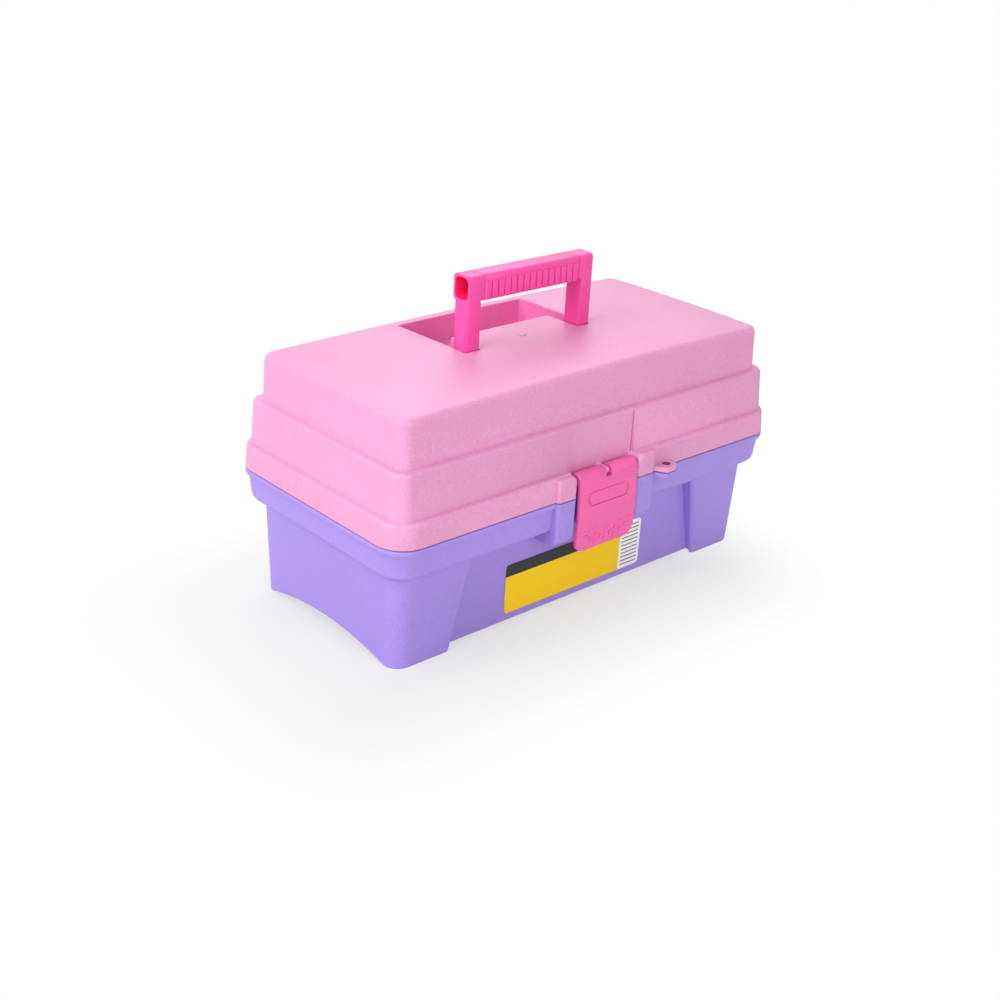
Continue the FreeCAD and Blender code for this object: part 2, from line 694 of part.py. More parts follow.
        bore(body, "stub_bore", (HANDLE_Y, "handle_pivot"), "stub_size / 2 + run_gap", start, "wall + handle_gap")

    # middle barrels of the two rear hinges
    for side in (-1, 1):
        start = f"{side} * hinge_offset - hinge_leaf / 2"
        knuckle(body, "leaf", start, "hinge_leaf", [
            ("rim_width / 2 - low_lean - wall / 2", "seam_height"),
            ("hinge_reach", "seam_height"),
            ("hinge_reach + hinge_radius / 2", "seam_height + hinge_radius * 3 / 4"),
            ("rim_width / 2 - low_lean - wall / 2", "seam_height + low_step * 3 / 4"),
        ])
        bore(body, "leaf_bore", ("hinge_reach", "seam_height"), "hinge_pin / 2 + run_gap", start, "hinge_leaf")

    lid_pivot_lug(body, "low_lug", LOW_LID_PIVOT, "low_lean", LOW_TOP)
    lid_pivot_lug(body, "high_lug", HIGH_LID_PIVOT, "mid_inset + mid_lean", MID_TOP)

    # ears that carry the mirror
    axis_y = "-(mirror_front - mirror_axis)"
    for side in (-1, 1):
        near_end = "(mirror_length / 2 + ear_gap)"
        ear = sketch(body, "mirror_ear", "XY_Plane", f"{MIRROR_AXIS_Z} - mirror_pin * 1.3")
        box_plan(ear, f"{side} * {near_end}", f"{side} * ({near_end} + ear_width)",
                 f"{axis_y} - mirror_pin * 1.3", f"{axis_y} + mirror_pin * 1.3")
        extrude(body, ear, f"{LID_TOP} - top_crown - wall / 2 - {MIRROR_AXIS_Z} + mirror_pin * 1.3")
        start = near_end if side > 0 else f"-({near_end} + ear_width)"
        bore(body, "ear_bore", (axis_y, MIRROR_AXIS_Z), "mirror_pin / 2 + run_gap", start, "ear_width")
    return body


def make_handle():
    body = new_body("carry_handle")
    grip_y = "(grip_depth / 2 - handle_front)"
    grip_z = "(handle_top - grip_height / 2)"
    grip = sketch(body, "grip", "YZ_Plane")
    rounded(grip, "grip_depth / 2", "grip_height / 2", "grip_round", (grip_y, grip_z))
    extrude(body, grip, "handle_width", both=True)
    for name, start in (("left_leg", "-handle_width / 2"), ("right_leg", LEG_INNER)):
        leg = sketch(body, name, "YZ_Plane", start)
        slot(leg, (HANDLE_Y, "handle_pivot"), (HANDLE_Y, "handle_top - leg_depth / 2 - grip_wall"),
             "leg_depth / 2")
        extrude(body, leg, "leg_width")

    # upright ridges along both sides of the grip, flat faced with narrow valleys
    first_ridge = sketch(body, "first_ridge", "XY_Plane", "handle_top - grip_height + grip_round / 3")
    along = f"-{(RIDGES - 1) / 2} * ridge_pitch"
    for side, face in ((-1, "handle_front"), (1, "(grip_depth - handle_front)")):
        polygon(first_ridge, [
            (f"{along} - ridge_foot / 2", f"{side} * ({face} - grip_wall)"),
            (f"{along} - ridge_foot / 2", f"{side} * {face}"),
            (f"{along} - ridge_crest / 2", f"{side} * ({face} + ridge_rise)"),
            (f"{along} + ridge_crest / 2", f"{side} * ({face} + ridge_rise)"),
            (f"{along} + ridge_foot / 2", f"{side} * {face}"),
            (f"{along} + ridge_foot / 2", f"{side} * ({face} - grip_wall)"),
        ])
    row_along_x(body, extrude(body, first_ridge, "grip_height - 2 * grip_round"), RIDGES, "ridge_pitch")
    # fine groove round the grip beside each leg
    for place in ("-ring_place", "ring_place - ring_width"):
        ring = sketch(body, "ring", "YZ_Plane", place)
        for grow in (f"{OVERCUT}", "-ring_depth"):
            rounded(ring, f"grip_depth / 2 + {grow}", f"grip_height / 2 + {grow}", f"grip_round + {grow}",
                    (grip_y, grip_z))
        extrude(body, ring, "ring_width", cut=True)
    bore_sketch = sketch(body, "grip_bore", "YZ_Plane")
    rounded(bore_sketch, "grip_depth / 2 - grip_wall", "grip_height / 2 - grip_wall", "bore_round",
            (grip_y, grip_z))
    extrude(body, bore_sketch, "handle_width", cut=True, both=True)
    for start in (f"{LEG_INNER} + leg_width / 4", "-(handle_width / 2 + stub_reach)"):
        stub = sketch(body, "stub", "YZ_Plane", start)
        circle(stub, (HANDLE_Y, "handle_pivot"), "stub_size / 2")
        extrude(body, stub, "stub_reach + leg_width * 3 / 4")
    return body


def make_latch():
    body = new_body("front_latch")
    barrel = sketch(body, "barrel", "YZ_Plane")
    circle(barrel, (f"-{LATCH_Y}", LATCH_Z), "latch_barrel / 2")
    extrude(body, barrel, "latch_width", both=True)
    fillet(body, "latch_barrel * 0.18", lambda box: box.XLength < 0.01)

    # plate bowed outwards about an axis along X
    bow_radius = f"(({LATCH_HALF} ^ 2 + latch_bow ^ 2) / (2 * latch_bow))"
    plate = sketch(body, "plate", "YZ_Plane")
    centre = (f"{bow_radius} - latch_reach", LATCH_MID)
    middle = Vector(value(centre[0]), value(centre[1]), 0)
    ends = []
    for thickness in ("0", "latch_thickness"):
        radius = value(f"{bow_radius} - {thickness}")
        half = value(LATCH_HALF)
        back = (radius ** 2 - half ** 2) ** 0.5
        ends.append([middle + Vector(-back, rise, 0) for rise in (half, -half)])
        plate.addGeometry(Part.Arc(ends[-1][0], middle - Vector(radius, 0, 0), ends[-1][1]))
    plate.addGeometry(Part.LineSegment(ends[0][0], ends[1][0]))
    plate.addGeometry(Part.LineSegment(ends[0][1], ends[1][1]))
    for line, (outer_end, inner_end) in ((2, (1, 1)), (3, (2, 2))):
        plate.addConstraint(Sketcher.Constraint("Coincident", line, 1, 0, outer_end))
        plate.addConstraint(Sketcher.Constraint("Coincident", line, 2, 1, inner_end))
    hold_point(plate, centre, 0, 3)
    hold_point(plate, centre, 1, 3)
    hold(plate, bow_radius, "Radius", 0)
    hold(plate, f"{bow_radius} - latch_thickness", "Radius", 1)
    for arc_index in (0, 1):
        hold(plate, LATCH_Z, "DistanceY", -1, 1, arc_index, 1)
        hold(plate, "latch_foot", "DistanceY", -1, 1, arc_index, 2)
    extrude(body, plate, "latch_width", both=True)
    fillet(body, "latch_corner", lambda box: level(box, "latch_foot") and box.YLength > 1 and box.XLength < 0.01)
    inner = "-(latch_reach - latch_thickness)"
    bead = sketch(body, "bead", "YZ_Plane")
    polygon(bead, [
        (f"{inner} - latch_thickness / 2", "catch_level - bead_gap"),
        (inner, "catch_level - bead_gap"),
        (f"{inner} + bead_rise", "catch_level - bead_gap - bead_rise"),
        (inner, "catch_level - bead_gap - 3 * bead_rise"),
        (f"{inner} - latch_thickness / 2", "catch_level - bead_gap - 3 * bead_rise"),
    ])
    extrude(body, bead, "catch_width - 4", both=True)
    notch = sketch(body, "notch", "XZ_Plane", f"{LATCH_Y} - latch_barrel")
    box_plan(notch, "-latch_notch / 2", "latch_notch / 2", f"{LATCH_Z} - latch_lug / 2 - leaf_gap",
             f"{LATCH_Z} + latch_barrel")
    extrude(body, notch, "2 * latch_barrel", cut=True)

    # outline of a long oval pressed into the face
    pill = sketch(body, "pill", "XZ_Plane", "latch_reach - pill_depth")
    reach = "(pill_length - pill_height) / 2"
    slot(pill, (f"-{reach}", "pill_level"), (reach, "pill_level"), "pill_height / 2")
    slot(pill, (f"-{reach}", "pill_level"), (reach, "pill_level"), "pill_height / 2 - pill_line")
    extrude(body, pill, "2 * pill_depth", cut=True)

    # finger bumps in rows that narrow towards the foot
    for row, count in enumerate(BUMP_ROWS):
        height = f"(bump_level - {row} * bump_row)"
        face = f"(latch_reach - latch_bow * ({height} - {LATCH_MID}) ^ 2 / {LATCH_HALF} ^ 2)"
        bumps = sketch(body, "bumps", "XZ_Plane", f"{face} - latch_thickness / 2")
        for k in range(count):
            circle(bumps, (f"{k - (count - 1) / 2} * bump_pitch", height), "bump_size / 2")
        extrude(body, bumps, "latch_thickness / 2 + bump_rise")
    fillet(body, "bump_rise * 0.8", lambda box: box.YLength < 0.001 and near(box.XLength, "bump_size", 0.02)
           and near(box.ZLength, "bump_size", 0.02) and box.YMax < -value("latch_reach - latch_bow"))
    pin_bore = sketch(body, "pin_bore", "YZ_Plane")
    circle(pin_bore, (f"-{LATCH_Y}", LATCH_Z), "latch_pin / 2 + run_gap")
    extrude(body, pin_bore, "latch_width", cut=True, both=True)
    return body


def make_tray(label, front, back, floor, height, split, columns, pivots):
    """Open tray with one long compartment in front and a row of small ones behind it."""
    body = new_body(label)
    middle = f"({back} - {front}) / 2"
    half_y = f"({front} + {back}) / 2"
    shape = sketch(body, "tray_plan", "XY_Plane", floor)
    rounded(shape, "tray_length / 2", half_y, "tray_round", ("0", middle))
    extrude(body, shape, height)
    fillet(body, "tray_wall", lambda box: level(box, floor))
    hollow = sketch(body, "compartments", "XY_Plane", f"{floor} + tray_wall")
    rounded(hollow, "tray_length / 2 - tray_wall", f"({front} - {split} - tray_wall * 3 / 2) / 2",
            "tray_corner", ("0", f"-({front} + {split} - tray_wall / 2) / 2"))
    pitch = f"((tray_length - tray_wall) / {columns})"
    for k in range(columns):
        centre = (f"{k - (columns - 1) / 2} * {pitch}", f"({back} - {split} - tray_wall / 2) / 2")
        rounded(hollow, f"({pitch} - tray_wall) / 2", f"({back} + {split} - tray_wall * 3 / 2) / 2",
                "tray_corner", centre)
    extrude(body, hollow, height, cut=True)
    for pivot in pivots:
        hole = sketch(body, "pin_bore", "YZ_Plane")
        circle(hole, pivot, "pivot_pin / 2")
        extrude(body, hole, "tray_length", cut=True, both=True)
    return body


def make_arm(label, start):
    """Bent flat arm with three holes: tub, lower tray, upper tray."""
    body = new_body(label)
    lower = slot(sketch(body, "lower_bar", "YZ_Plane", start), LOW_ARM_PIVOT, ARM_PIVOT, "arm_width / 2")
    extrude(body, lower, "arm_thickness")
    upper = slot(sketch(body, "upper_bar", "YZ_Plane", start), HIGH_ARM_PIVOT, LOW_ARM_PIVOT, "arm_width / 2")
    extrude(body, upper, "arm_thickness")
    for pivot in (ARM_PIVOT, LOW_ARM_PIVOT, HIGH_ARM_PIVOT):
        bore(body, "pivot_bore", pivot, "pivot_pin / 2 + run_gap", start, "arm_thickness")
    return body


def make_pin(name, place, radius, start, length):
    """Round rod along X."""
    rod = doc.addObject("Part::Cylinder", name)
    rod.Label = name
    rod.Placement = FreeCAD.Placement(Vector(0, 0, 0), FreeCAD.Rotation(Vector(0, 1, 0), 90))
    rod.setExpression("Radius", expr(radius))
    rod.setExpression("Height", expr(length))
    rod.setExpression("Placement.Base.x", expr(start))
    rod.setExpression("Placement.Base.y", expr(place[0]))
    rod.setExpression("Placement.Base.z", expr(place[1]))
    return rod


def make_pin_pair(label, place, radius, start, length):
    """The same pin at both ends of the box, as one group."""
    right = make_pin(label + "_right", place, radius, start, length)
    left = make_pin(label + "_left", place, radius, f"-({start} + {length})", length)
    group = doc.addObject("Part::Compound", label)
    group.Label = label
    group.Links = [left, right]
    return group


def make_mirror():
    half_y = "mirror_width / 2"
    centre = ("0", "mirror_width / 2 - mirror_front")
    frame = new_body("mirror_frame")
    outline = sketch(frame, "frame_plan", "XY_Plane", "mirror_level")
    rounded(outline, "mirror_length / 2", half_y, "mirror_round", centre)
    extrude(frame, outline, "mirror_depth")
    recess = sketch(frame, "glass_recess", "XY_Plane", "mirror_level")
    rounded(recess, "mirror_length / 2 - mirror_border - mirror_pin * 2", f"{half_y} - mirror_border",
            "mirror_round - 1", centre)
    extrude(frame, recess, "mirror_glass", cut=True)
    axis = ("-(mirror_front - mirror_axis)", MIRROR_AXIS_Z)
    for start in ("mirror_length / 2 - mirror_pin * 2", "-mirror_length / 2"):
        bore(frame, "pin_bore", axis, "mirror_pin / 2", start, "mirror_pin * 2")
    glass = new_body("mirror_glass")
    pane = sketch(glass, "pane", "XY_Plane", "mirror_level")
    rounded(pane, "mirror_length / 2 - mirror_border - mirror_pin * 2", f"{half_y} - mirror_border",
            "mirror_round - 1", centre)
    extrude(glass, pane, "mirror_glass")
    pins = make_pin_pair("mirror_pins", axis, "mirror_pin / 2", "(mirror_length / 2 - mirror_pin * 2)",
                         "(mirror_pin * 2 + ear_gap + ear_width)")
    return [frame, glass, pins]


def make_label():
    body = new_body("front_label")
    sticker = sketch(body, "sticker", "XZ_Plane", "panel_spread / 2")
    rounded(sticker, "label_length / 2", "label_height / 2", "label_round", ("-label_shift", "label_level"))
    extrude(body, sticker, "label_thickness")
    return body


nodes = [
    make_tub(),
    make_lid(),
    make_handle(),
    make_latch(),
    make_pin("latch_pin", (f"-{LATCH_Y}", LATCH_Z), "latch_pin / 2", "-(rib_gap / 2 + latch_pin_seat)",
             "rib_gap + 2 * latch_pin_seat"),
    make_tray("lower_tray", "low_tray_front", "low_tray_back", "low_tray_floor", "low_tray_height",
              "low_tray_split", 3, (LOW_LID_PIVOT, LOW_ARM_PIVOT)),
    make_tray("upper_tray", "high_tray_front", "high_tray_back", "high_tray_floor", "high_tray_height",
              "high_tray_split", 4, (HIGH_LID_PIVOT, HIGH_ARM_PIVOT)),
    make_arm("tray_arm_left", f"-({ARM_X} + arm_thickness)"),
    make_arm("tray_arm_right", ARM_X),
    make_pin_pair("arm_base_pins", ARM_PIVOT, "pivot_pin / 2", f"({ARM_X} + run_gap)",
                  "(arm_thickness + arm_gap - run_gap + pin_seat)"),
    make_label(),
]
for side, name in ((-1, "hinge_pin_left"), (1, "hinge_pin_right")):
    nodes.append(make_pin(name, ("hinge_reach", "seam_height"), "hinge_pin / 2",
                          f"{side} * hinge_offset - hinge_leaf / 2 - leaf_gap - hinge_end",
                          "hinge_leaf + 2 * (leaf_gap + hinge_end)"))
for label, pivot, length in (
    ("lower_tray_arm_pins", LOW_ARM_PIVOT, "(tray_wall + arm_gap + arm_thickness + arm_gap / 2)"),
    ("upper_tray_arm_pins", HIGH_ARM_PIVOT, "(tray_wall + arm_gap + arm_thickness + arm_gap / 2)"),
    ("lower_tray_lid_pins", LOW_LID_PIVOT, "(tray_wall + 2 * arm_gap + arm_thickness + pin_seat)"),
    ("upper_tray_lid_pins", HIGH_LID_PIVOT, "(tray_wall + 2 * arm_gap + arm_thickness + pin_seat)"),
):
    nodes.append(make_pin_pair(label, pivot, "pivot_pin / 2", "(tray_length / 2 - tray_wall)", length))
nodes += make_mirror()

doc.recompute()
for item in doc.Objects:
    if "Invalid" in item.State or "Error" in item.State:
        raise RuntimeError("%s failed: %s" % (item.Label, item.State))
for node in nodes:
    if node.Shape.isNull() or not node.Shape.isValid():
        raise RuntimeError("%s has no valid shape" % node.Label)

os.makedirs("parts", exist_ok=True)
for node in nodes:
    node.Shape.exportStep("parts/%s.step" % node.Label)
    print("%-22s %2d solids %10.1f mm3" % (node.Label, len(node.Shape.Solids), node.Shape.Volume))
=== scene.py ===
import json
import math

import bpy
from mathutils import Matrix, Vector


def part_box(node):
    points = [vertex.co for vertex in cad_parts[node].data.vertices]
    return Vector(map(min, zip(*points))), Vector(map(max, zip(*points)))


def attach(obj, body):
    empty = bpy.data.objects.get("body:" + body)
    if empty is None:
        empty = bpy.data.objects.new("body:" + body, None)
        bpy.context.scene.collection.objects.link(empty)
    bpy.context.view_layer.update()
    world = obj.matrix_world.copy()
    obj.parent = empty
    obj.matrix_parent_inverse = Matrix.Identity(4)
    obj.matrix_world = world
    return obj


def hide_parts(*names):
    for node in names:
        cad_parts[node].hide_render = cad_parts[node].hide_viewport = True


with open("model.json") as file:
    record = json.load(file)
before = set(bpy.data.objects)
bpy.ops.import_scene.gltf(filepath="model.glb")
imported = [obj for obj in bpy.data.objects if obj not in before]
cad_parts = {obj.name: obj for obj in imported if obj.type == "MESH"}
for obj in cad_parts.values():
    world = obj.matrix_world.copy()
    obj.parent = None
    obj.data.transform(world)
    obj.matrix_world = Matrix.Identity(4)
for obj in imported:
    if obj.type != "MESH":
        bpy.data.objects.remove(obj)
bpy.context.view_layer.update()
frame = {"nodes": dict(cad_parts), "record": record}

MM = 0.001


# Small tools for the pieces

MERGE_WITHIN = 1e-6
FLAT_ANGLE = math.radians(0.2)
SHARP_ANGLE = math.radians(32)
EDGE_SEGMENTS = 2


def select_only(piece):
    bpy.ops.object.select_all(action="DESELECT")
    piece.select_set(True)
    bpy.context.view_layer.objects.active = piece


def finish_piece(piece, body, slot, material, *nodes):
    """Give a piece its finish and its body, and hide the nodes it stands for."""
    piece.data.materials.clear()
    piece.data.materials.append(material)
    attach(piece, body)
    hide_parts(*nodes)


def moulded_copy(node, name, edge):
    """Copy a node, join its triangles into faces and break its sharp edges as a mould does."""
    piece = bpy.data.objects.new(name, frame["nodes"][node].data.copy())
    bpy.context.scene.collection.objects.link(piece)
    select_only(piece)
    bpy.ops.object.mode_set(mode="EDIT")
    bpy.ops.mesh.select_all(action="SELECT")
    bpy.ops.mesh.remove_doubles(threshold=MERGE_WITHIN)
    bpy.ops.mesh.dissolve_limited(angle_limit=FLAT_ANGLE)
    bpy.ops.object.mode_set(mode="OBJECT")
    if edge:
        rounding = piece.modifiers.new("edge", "BEVEL")
        rounding.width = edge * MM
        rounding.segments = EDGE_SEGMENTS
        rounding.limit_method = "ANGLE"
        rounding.angle_limit = SHARP_ANGLE
        rounding.use_clamp_overlap = True
        bpy.ops.object.modifier_apply(modifier="edge")
    bpy.ops.object.shade_smooth_by_angle(angle=SHARP_ANGLE)
    return piece


def cut_away(piece, tool):
    """Cut a tool's shape out of a piece."""
    select_only(piece)
    cut = piece.modifiers.new("cut", "BOOLEAN")
    cut.operation = "DIFFERENCE"
    cut.object = tool
    bpy.ops.object.modifier_apply(modifier="cut")
    bpy.data.objects.remove(tool)


def cut_block(piece, corners, count=1, pitch=0):
    """Cut a block, or a row of equal blocks along X, out of a piece."""
    low, high = (Vector(corner) * MM for corner in corners)
    bpy.ops.object.select_all(action="DESELECT")
    bpy.ops.mesh.primitive_cube_add(size=1, location=(0, 0, 0))
    tool = bpy.context.active_object
    bpy.ops.object.mode_set(mode="EDIT")
    bpy.ops.mesh.select_all(action="SELECT")
    bpy.ops.transform.resize(value=high - low)
    bpy.ops.transform.translate(value=(low + high) / 2)
    bpy.ops.object.mode_set(mode="OBJECT")
    row = tool.modifiers.new("row", "ARRAY")
    row.count = count
    row.use_relative_offset = False
    row.use_constant_offset = True
    row.constant_offset_displace = (pitch * MM, 0, 0)
    bpy.ops.object.modifier_apply(modifier="row")
    cut_away(piece, tool)


def refinish(piece, finish, chosen):
    """Give the faces that a test chooses another finish."""
    piece.data.materials.append(finish)
    last = len(piece.data.materials) - 1
    for face in piece.data.polygons:
        if chosen(face):
            face.material_index = last


# Parts of a finish

def new_finish(name):
    finish = bpy.data.materials.new(name)
    finish.use_nodes = True
    tree = finish.node_tree
    tree.nodes.clear()
    out = tree.nodes.new("ShaderNodeOutputMaterial")
    shader = tree.nodes.new("ShaderNodeBsdfPrincipled")
    tree.links.new(shader.outputs["BSDF"], out.inputs["Surface"])
    place = tree.nodes.new("ShaderNodeTexCoord")
    return finish, tree, shader, place.outputs["Object"]


def noise(tree, place, scale, detail=2, roughness=0.55):
    cloud = tree.nodes.new("ShaderNodeTexNoise")
    cloud.inputs["Scale"].default_value = scale
    cloud.inputs["Detail"].default_value = detail
    cloud.inputs["Roughness"].default_value = roughness
    tree.links.new(place, cloud.inputs["Vector"])
    return cloud.outputs["Fac"]


def spread(tree, value, low, high, start=0.3, end=0.7):
    """Stretch a value that runs from start to end, so that it runs from low to high."""
    span = tree.nodes.new("ShaderNodeMapRange")
    span.inputs["From Min"].default_value = start
    span.inputs["From Max"].default_value = end
    span.inputs["To Min"].default_value = low
    span.inputs["To Max"].default_value = high
    tree.links.new(value, span.inputs["Value"])
    return span.outputs["Result"]


def reckon(tree, operation, *values):
    """Work out one sum from numbers and from what other nodes give."""
    step = tree.nodes.new("ShaderNodeMath")
    step.operation = operation
    for socket, value in zip(step.inputs, values):
        if isinstance(value, bpy.types.NodeSocket):
            tree.links.new(value, socket)
        else:
            socket.default_value = value
    return step.outputs["Value"]


def above(tree, value, limit):
    """1 where a value is over a limit, 0 elsewhere."""
    return reckon(tree, "GREATER_THAN", value, limit)


def within(tree, value, low, high):
    """1 where a value lies between two limits, 0 elsewhere."""
    return reckon(tree, "COMPARE", value, (low + high) / 2, (high - low) / 2)


def both(tree, first, second):
    return reckon(tree, "MULTIPLY", first, second)


def two_tone(tree, value, first, second):
    blend = tree.nodes.new("ShaderNodeMix")
    blend.data_type = "RGBA"
    blend.inputs["A"].default_value = (*first, 1)
    blend.inputs["B"].default_value = (*second, 1)
    tree.links.new(value, blend.inputs["Factor"])
    return blend.outputs["Result"]


def overprint(tree, ground, cover, ink):
    """Lay one ink over another where the cover is 1."""
    blend = tree.nodes.new("ShaderNodeMix")
    blend.data_type = "RGBA"
    tree.links.new(cover, blend.inputs["Factor"])
    tree.links.new(ground, blend.inputs["A"])
    tree.links.new(ink, blend.inputs["B"])
    return blend.outputs["Result"]


def bump(tree, shader, height, strength, distance):
    relief = tree.nodes.new("ShaderNodeBump")
    relief.inputs["Strength"].default_value = strength
    relief.inputs["Distance"].default_value = distance
    tree.links.new(height, relief.inputs["Height"])
    tree.links.new(relief.outputs["Normal"], shader.inputs["Normal"])


def tint(colour, by):
    return tuple(min(1.0, part * by) for part in colour)


# Colours

PINK = (0.765, 0.318, 0.548)
PURPLE = (0.362, 0.245, 0.745)
MAGENTA = (0.930, 0.060, 0.370)
LATCH_PINK = (0.880, 0.110, 0.390)
# Painted shade: deeper red for the inside of the hollow grip
HOLLOW_SHADE_RED = (1.000, 0.002, 0.150)
# Painted shade: deeper pink for the walls and floor of the handle pocket
POCKET_SHADE_PINK = (0.800, 0.195, 0.470)
# Painted shade: dark plum for the wall of the hole in the padlock eye
EYE_SHADE_PLUM = (0.300, 0.060, 0.140)
LILAC = (0.520, 0.430, 0.800)
YELLOW = (1.000, 0.640, 0.004)
INK = (0.030, 0.030, 0.034)
PALE = (0.950, 0.950, 0.950)
STEEL_TONES = ((0.50, 0.50, 0.52), (0.68, 0.68, 0.70))
# Painted shade: the latch pin is near black, so the notch over it reads as shade
SHADE_BLACK_STEEL_TONES = ((0.030, 0.028, 0.030), (0.060, 0.056, 0.060))
SILVER_TONES = ((0.84, 0.86, 0.87), (0.90, 0.92, 0.92))


# Plastic, steel and mirror glass, with depths in millimetres

SPARK_GRAIN = 850
FINE_GRAIN = 1100
SPECK_ROUGHNESS = 0.6
SPECK_SHARE = 0.7
FLOW_SCALE = 9
PLASTIC_IOR = 1.49
PLASTIC_BUMP = 0.45

LINE_SCALE = 2500
LINE_STRETCH = (0.03, 1, 1)
LINE_DEPTH = 0.02
STEEL_BUMP = 0.2
STEEL_GLOSS = (0.22, 0.42)

HAZE_SCALE = 60
HAZE_DETAIL = 4
SILVER_GLOSS = (0.02, 0.07)


def moulded_plastic(name, colour, grain=SPARK_GRAIN, speckle=0.13, depth=0.12, gloss=(0.42, 0.56), shine=0.7):
    """Moulded polypropylene: fine spark grain, faint flow tone, uneven gloss."""
    finish, tree, shader, place = new_finish(name)
    flow = noise(tree, place, FLOW_SCALE)
    speck = noise(tree, place, grain, roughness=SPECK_ROUGHNESS)
    tone = reckon(tree, "MULTIPLY_ADD", spread(tree, speck, 0.0, 1.0), SPECK_SHARE,
                  spread(tree, flow, 0.0, 1.0 - SPECK_SHARE))
    tree.links.new(two_tone(tree, tone, tint(colour, 1 - speckle), tint(colour, 1 + speckle)),
                   shader.inputs["Base Color"])
    tree.links.new(spread(tree, speck, *gloss), shader.inputs["Roughness"])
    shader.inputs["IOR"].default_value = PLASTIC_IOR
    shader.inputs["Specular IOR Level"].default_value = shine
    bump(tree, shader, speck, PLASTIC_BUMP, depth * MM)
    return finish


def drawn_steel(name, dull, bright):
    """Drawn rod with fine lines along X."""
    finish, tree, shader, place = new_finish(name)
    stretch = tree.nodes.new("ShaderNodeMapping")
    stretch.inputs["Scale"].default_value = LINE_STRETCH
    tree.links.new(place, stretch.inputs["Vector"])
    lines = noise(tree, stretch.outputs["Vector"], LINE_SCALE)
    tree.links.new(two_tone(tree, lines, dull, bright), shader.inputs["Base Color"])
    tree.links.new(spread(tree, lines, *STEEL_GLOSS), shader.inputs["Roughness"])
    shader.inputs["Metallic"].default_value = 1.0
    bump(tree, shader, lines, STEEL_BUMP, LINE_DEPTH * MM)
    return finish


def silvered_glass(name):
    """Mirror with a faint haze."""
    finish, tree, shader, place = new_finish(name)
    haze = noise(tree, place, HAZE_SCALE, HAZE_DETAIL)
    tree.links.new(two_tone(tree, haze, *SILVER_TONES), shader.inputs["Base Color"])
    tree.links.new(spread(tree, haze, *SILVER_GLOSS), shader.inputs["Roughness"])
    shader.inputs["Metallic"].default_value = 1.0
    return finish


# Label film, with the rules in millimetres and each ink with its darkest and lightest share

FILM_SCALE = 260
FILM_INKS = ((YELLOW, 0.97, 1.03), (INK, 0.85, 1.15), (PALE, 0.96, 1.02))
FILM_GLOSS = (0.30, 0.36)
FILM_SHINE = 0.2
FILM_BUMP = 0.05
FILM_DEPTH = 0.01
STRIP_SHARE = 0.24
BLOCK_SHARE = 0.16
RULE_PITCH = 1.5
RULE_SHARE = 0.75
RULE_MARGIN = 2.2


def printed_film(name, node):
    """Blank label stock: yellow ground, dark strip along the top, pale block with plain rules at the right."""
    finish, tree, shader, place = new_finish(name)
    low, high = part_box(node)
    length, height = high[0] - low[0], high[2] - low[2]
    parts = tree.nodes.new("ShaderNodeSeparateXYZ")
    tree.links.new(place, parts.inputs["Vector"])
    along, upward = parts.outputs["X"], parts.outputs["Z"]
    paper = noise(tree, place, FILM_SCALE)
    yellow, dark, pale = (two_tone(tree, paper, tint(ink, less), tint(ink, more))
                          for ink, less, more in FILM_INKS)
    strip = above(tree, upward, high[2] - height * STRIP_SHARE)
    block_left = high[0] - length * BLOCK_SHARE
    block = above(tree, along, block_left)
    rules = reckon(tree, "PINGPONG", upward, RULE_PITCH * MM)
    ruled = above(tree, rules, RULE_PITCH * MM * RULE_SHARE)
    edge = RULE_MARGIN * MM
    ruled = both(tree, ruled, within(tree, along, block_left + edge, high[0] - edge))
    ruled = both(tree, ruled, within(tree, upward, low[2] + edge, high[2] - edge))
    face = overprint(tree, yellow, strip, dark)
    face = overprint(tree, face, block, overprint(tree, pale, ruled, dark))
    tree.links.new(face, shader.inputs["Base Color"])
    tree.links.new(spread(tree, paper, *FILM_GLOSS), shader.inputs["Roughness"])
    shader.inputs["Specular IOR Level"].default_value = FILM_SHINE
    bump(tree, shader, paper, FILM_BUMP, FILM_DEPTH * MM)
    return finish


# Finishes of this box

lid_plastic = moulded_plastic("lid_plastic", PINK)
# Painted shade in the handle pocket
pocket_shade_plastic = moulded_plastic("pocket_shade_plastic", POCKET_SHADE_PINK)
# Painted shade in the hole of the padlock eye
eye_shade_plastic = moulded_plastic("eye_shade_plastic", EYE_SHADE_PLUM)
tub_plastic = moulded_plastic("tub_plastic", PURPLE)
handle_plastic = moulded_plastic("handle_plastic", MAGENTA, grain=FINE_GRAIN, speckle=0.10, depth=0.02,
                                 gloss=(0.34, 0.46), shine=0.8)
# Painted shade inside the hollow grip
grip_hollow_shade = moulded_plastic("grip_hollow_shade", HOLLOW_SHADE_RED, grain=FINE_GRAIN, depth=0.02, gloss=(0.6, 0.7))
latch_plastic = moulded_plastic("latch_plastic", LATCH_PINK, grain=FINE_GRAIN, speckle=0.12, depth=0.05,
                                gloss=(0.40, 0.52))
tray_plastic = moulded_plastic("tray_plastic", LILAC, grain=FINE_GRAIN, depth=0.03)
steel_finish = drawn_steel("drawn_steel", *STEEL_TONES)
# Painted shade for the latch pin in its notch
shade_black_steel = drawn_steel("shade_black_steel", *SHADE_BLACK_STEEL_TONES)
mirror_finish = silvered_glass("silvered_glass")
label_film = printed_film("label_film", "front_label")


# Pieces made over the solids, each with its finish and the rounding of its edges in millimetres

BODY_OF = {node: body for body, nodes in frame["record"]["behaviour"]["bodies"].items() for node in nodes}
SLOT_OF = {part["node"]: part["material_slot"] for part in frame["record"]["subparts"]}

